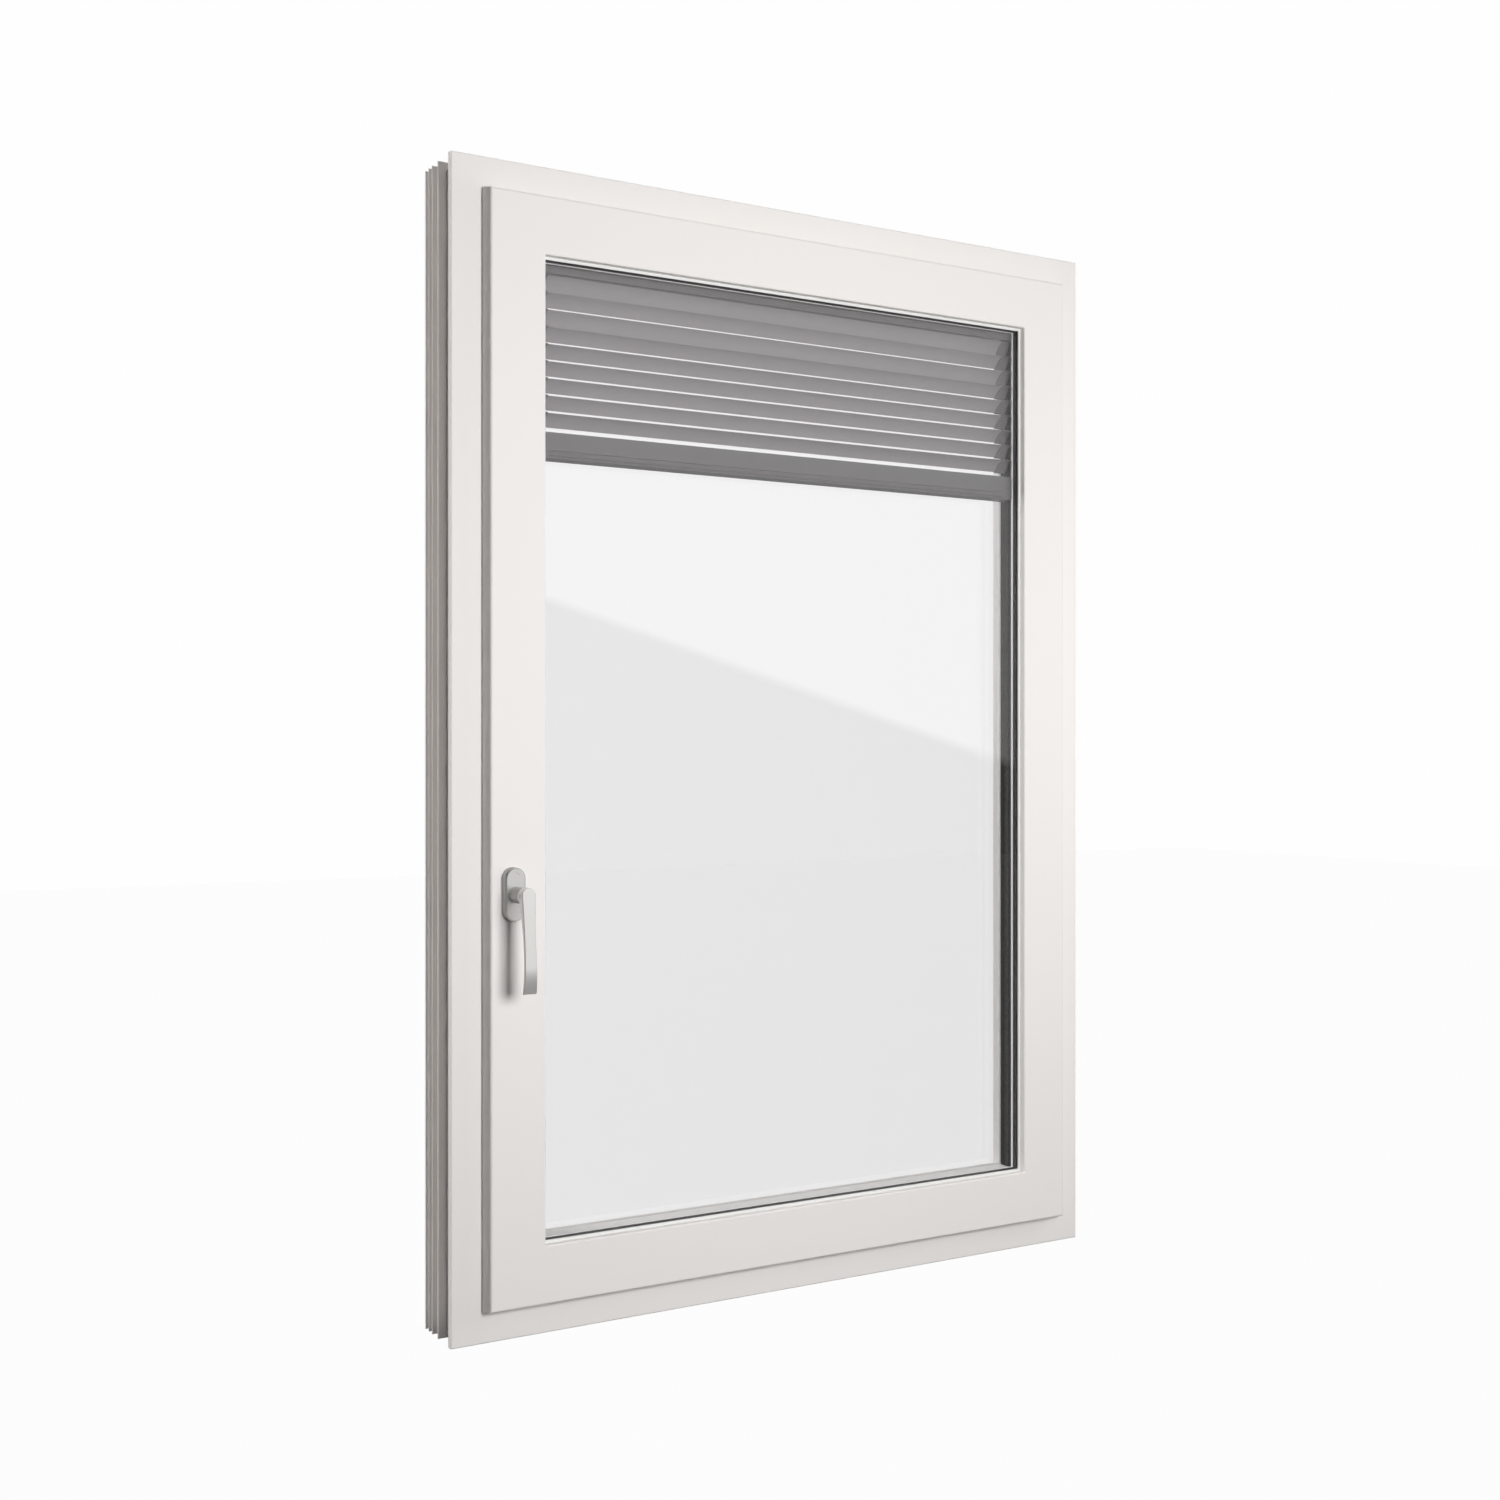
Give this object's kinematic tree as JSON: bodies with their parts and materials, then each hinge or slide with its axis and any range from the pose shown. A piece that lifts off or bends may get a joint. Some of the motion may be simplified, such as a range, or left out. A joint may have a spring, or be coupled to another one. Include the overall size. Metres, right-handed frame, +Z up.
{
  "type": "window with integrated blind",
  "caption": "White tilt-and-turn window frame and sash with triple glazing, a venetian blind between the panes and a turning lever handle.",
  "frame": {"origin": "middle of the frame's bottom edge, on the flat bottom face of its room-side flange", "axes": "+X to the right seen from the room, +Y from the room to the outside, +Z up"},
  "size_m": [1, 0.1767, 1.48],
  "materials": {
    "pvc_white": "satin white moulded plastic",
    "inner_white": "satin white moulded plastic",
    "gasket_grey": "soft grey seal",
    "spacer_black": "black warm-edge spacer",
    "clear_glass": "clear float glass",
    "channel_grey": "dark anodised, with dark caps on the slat ends",
    "slat_grey": "grey stove enamel",
    "rail_grey": "grey stove enamel",
    "handle_satin": "satin anodised",
    "spindle_steel": "plain steel"
  },
  "bodies": {
    "window": {"frame_sill": "pvc_white", "frame_head": "pvc_white", "frame_jamb_left": "pvc_white", "frame_jamb_right": "pvc_white", "sash_bottom_rail": "pvc_white", "sash_top_rail": "pvc_white", "sash_stile_left": "pvc_white", "sash_stile_right": "pvc_white", "cavity_floor_strip": "pvc_white", "cavity_liner_bottom": "inner_white", "cavity_liner_top": "inner_white", "cavity_liner_left": "inner_white", "cavity_liner_right": "inner_white", "outer_bead_bottom": "inner_white", "outer_bead_top": "inner_white", "outer_bead_left": "inner_white", "outer_bead_right": "inner_white", "overlap_gasket_room": "gasket_grey", "overlap_gasket_outside": "gasket_grey", "pane_seal": "gasket_grey", "pane_spacer": "spacer_black", "pane_inner": "clear_glass", "pane_middle": "clear_glass", "pane_outer": "clear_glass", "guide_channel_left": "channel_grey", "guide_channel_right": "channel_grey", "slat_caps_left": "channel_grey", "slat_caps_right": "channel_grey", "blind_slat_01": "slat_grey", "blind_slat_02": "slat_grey", "blind_slat_03": "slat_grey", "blind_slat_04": "slat_grey", "blind_slat_05": "slat_grey", "blind_slat_06": "slat_grey", "blind_slat_07": "slat_grey", "blind_slat_08": "slat_grey", "blind_slat_09": "slat_grey", "slat_stack": "slat_grey", "blind_head_rail": "rail_grey", "blind_bottom_rail": "rail_grey", "handle_rosette": "handle_satin"},
    "handle": {"handle_lever": "handle_satin", "handle_spindle": "spindle_steel"}
  },
  "joints": [
    {"name": "handle_turn", "type": "hinge", "parent": "window", "child": "handle", "pos_m": [-0.4287, -0.0274, 0.561], "axis": [0, -1, 0], "range_deg": [0, 180]}
  ]
}
